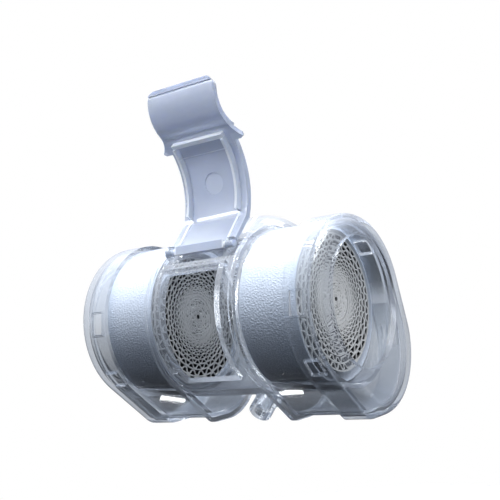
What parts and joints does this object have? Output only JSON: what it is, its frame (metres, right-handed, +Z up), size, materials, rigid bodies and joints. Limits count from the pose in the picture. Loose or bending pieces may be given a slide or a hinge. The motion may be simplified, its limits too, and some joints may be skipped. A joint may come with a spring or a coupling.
{
  "type": "heat and moisture exchanger",
  "caption": "Clear breathing filter for a tracheostomy tube: a paper roll in each end barrel, a 15 mm socket, an oxygen port and a hinged flap over the suction window.",
  "frame": {"origin": "centre of the mouth of the 15 mm socket that holds the part", "axes": "+X along the axis of the two paper rolls, -Y towards the side of the suction window, +Z up towards the open flap"},
  "size_m": [0.0496, 0.0364, 0.0549],
  "materials": {
    "clear_body": "clear moulded plastic with a pale blue cast",
    "clear_cap": "clear moulded plastic with a pale blue cast",
    "rolled_paper": "matt grey-white corrugated paper",
    "roll_band": "embossed paper band",
    "flap_plastic": "translucent blue-white moulded plastic"
  },
  "bodies": {
    "exchanger": {"housing": "clear_body", "left_end_cap": "clear_cap", "right_end_cap": "clear_cap", "left_paper_roll": "rolled_paper", "right_paper_roll": "rolled_paper", "left_roll_wrap": "roll_band", "right_roll_wrap": "roll_band"},
    "flap": {"suction_flap": "flap_plastic"}
  },
  "joints": [
    {"name": "flap_hinge", "type": "hinge", "parent": "exchanger", "child": "flap", "pos_m": [0, -0.02368, -0.00308], "axis": [1, 0, 0], "range_deg": [-10, 175]}
  ]
}
